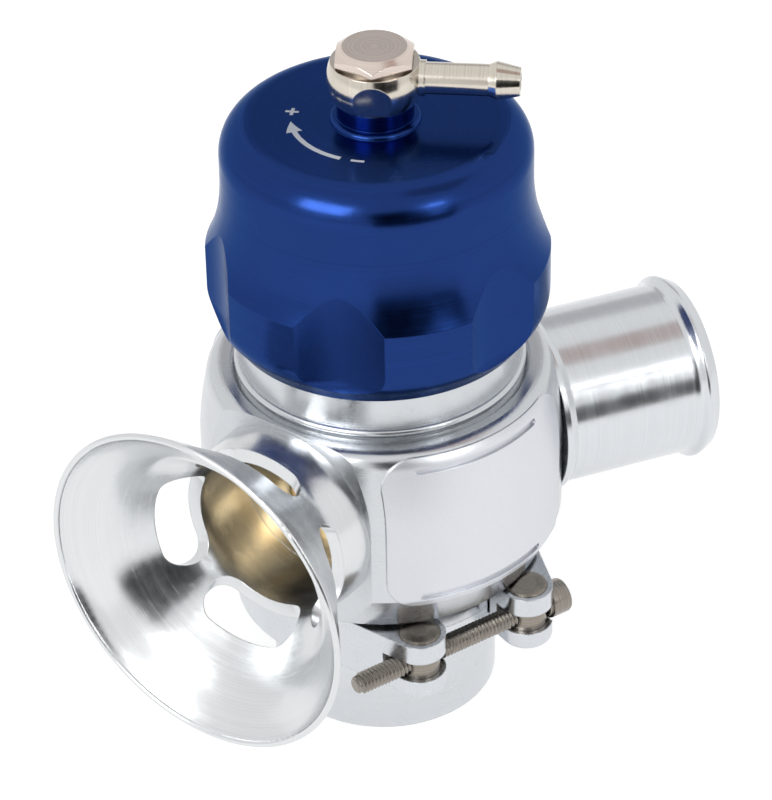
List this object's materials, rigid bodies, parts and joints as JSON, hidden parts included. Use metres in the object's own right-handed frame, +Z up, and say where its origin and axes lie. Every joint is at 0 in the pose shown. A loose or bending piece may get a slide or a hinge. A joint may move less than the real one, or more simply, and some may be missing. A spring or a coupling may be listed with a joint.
{
  "type": "blow-off valve",
  "caption": "Turbo blow-off valve with a vent trumpet and a recirculation pipe, an adjuster cap with a banjo hose fitting, and a V-band clamp to a weld-on flange.",
  "frame": {"origin": "centre of the weld end's bottom face, on the bore axis", "axes": "+Z up the bore of the valve towards the cap; +X along the recirculation pipe, out of its mouth"},
  "size_m": [0.1315, 0.0945, 0.1417],
  "materials": {
    "satin_aluminium": "satin clear anodised",
    "turned_aluminium": "fine turned",
    "blue_anodised": "deep blue anodised, satin",
    "bright_nickel": "polished nickel plate",
    "turned_brass": "turned",
    "stainless": "plain stainless",
    "spring_steel": "oil tempered spring wire",
    "black_rubber": "nitrile rubber",
    "ring_plastic": "natural PTFE",
    "washer_copper": "annealed copper washer"
  },
  "bodies": {
    "base": {"weld_flange": "satin_aluminium", "flange_o_ring": "black_rubber", "clamp_hinge_pin": "stainless"},
    "valve": {"housing": "satin_aluminium", "cap_o_ring": "black_rubber", "trumpet": "turned_aluminium", "trumpet_o_ring": "black_rubber", "recirculation_pipe": "satin_aluminium", "recirculation_o_ring": "black_rubber"},
    "piston": {"piston": "turned_brass", "piston_ring": "ring_plastic"},
    "seat": {"spring_seat": "satin_aluminium", "main_spring": "spring_steel"},
    "cap": {"cap": "blue_anodised", "banjo_bolt": "bright_nickel", "banjo_lower_seal": "washer_copper", "banjo_upper_seal": "washer_copper"},
    "fitting": {"banjo_fitting": "bright_nickel"},
    "clamp_left": {"clamp_half_left": "satin_aluminium"},
    "clamp_right": {"clamp_half_right": "satin_aluminium"},
    "trunnion_left": {"trunnion_threaded": "stainless"},
    "trunnion_right": {"trunnion_plain": "stainless"},
    "screw": {"clamp_screw": "stainless"}
  },
  "joints": [
    {"name": "valve_swivel", "type": "hinge", "parent": "base", "child": "valve", "pos_m": [0, 0, 0.0271], "axis": [0, 0, 1], "continuous": true},
    {"name": "piston_lift", "type": "slide", "parent": "valve", "child": "piston", "axis": [0, 0, 1], "range_m": [0, 0.011], "stiffness_N_per_m": 2000, "springref_m": -0.015, "deforming": ["main_spring"]},
    {"name": "cap_travel", "type": "slide", "parent": "valve", "child": "seat", "axis": [0, 0, -1], "range_m": [-0.00299, 0.00299]},
    {"name": "cap_turn", "type": "hinge", "parent": "seat", "child": "cap", "pos_m": [0, 0, 0.1], "axis": [0, 0, -1], "range_deg": [-720, 720]},
    {"name": "banjo_swivel", "type": "hinge", "parent": "cap", "child": "fitting", "pos_m": [0, 0, 0.13545], "axis": [0, 0, 1], "continuous": true},
    {"name": "clamp_right_open", "type": "hinge", "parent": "base", "child": "clamp_right", "pos_m": [-0.00665, 0.0313, 0.0271], "axis": [0, 0, 1], "range_deg": [0, 4.5]},
    {"name": "clamp_left_open", "type": "hinge", "parent": "base", "child": "clamp_left", "pos_m": [-0.00665, 0.0313, 0.0271], "axis": [0, 0, -1], "range_deg": [0, 4.5]},
    {"name": "trunnion_right_turn", "type": "hinge", "parent": "clamp_right", "child": "trunnion_right", "pos_m": [0.01867, -0.02757, 0.0271], "axis": [0, 0, -1], "range_deg": [0, 4.5]},
    {"name": "trunnion_left_turn", "type": "hinge", "parent": "clamp_left", "child": "trunnion_left", "pos_m": [-0.00584, -0.03278, 0.0271], "axis": [0, 0, 1], "range_deg": [0, 4.5]},
    {"name": "clamp_screw_turn", "type": "hinge", "parent": "trunnion_right", "child": "screw", "pos_m": [0.00641, -0.03018, 0.0271], "axis": [0.9781, 0.2079, 0], "continuous": true}
  ],
  "couplings": [
    {"joint": "cap_turn", "follows": "cap_travel", "rad_per_m": 4188.8},
    {"joint": "clamp_left_open", "follows": "clamp_right_open", "ratio": 1},
    {"joint": "trunnion_right_turn", "follows": "clamp_right_open", "ratio": 1},
    {"joint": "trunnion_left_turn", "follows": "clamp_right_open", "ratio": 1}
  ]
}
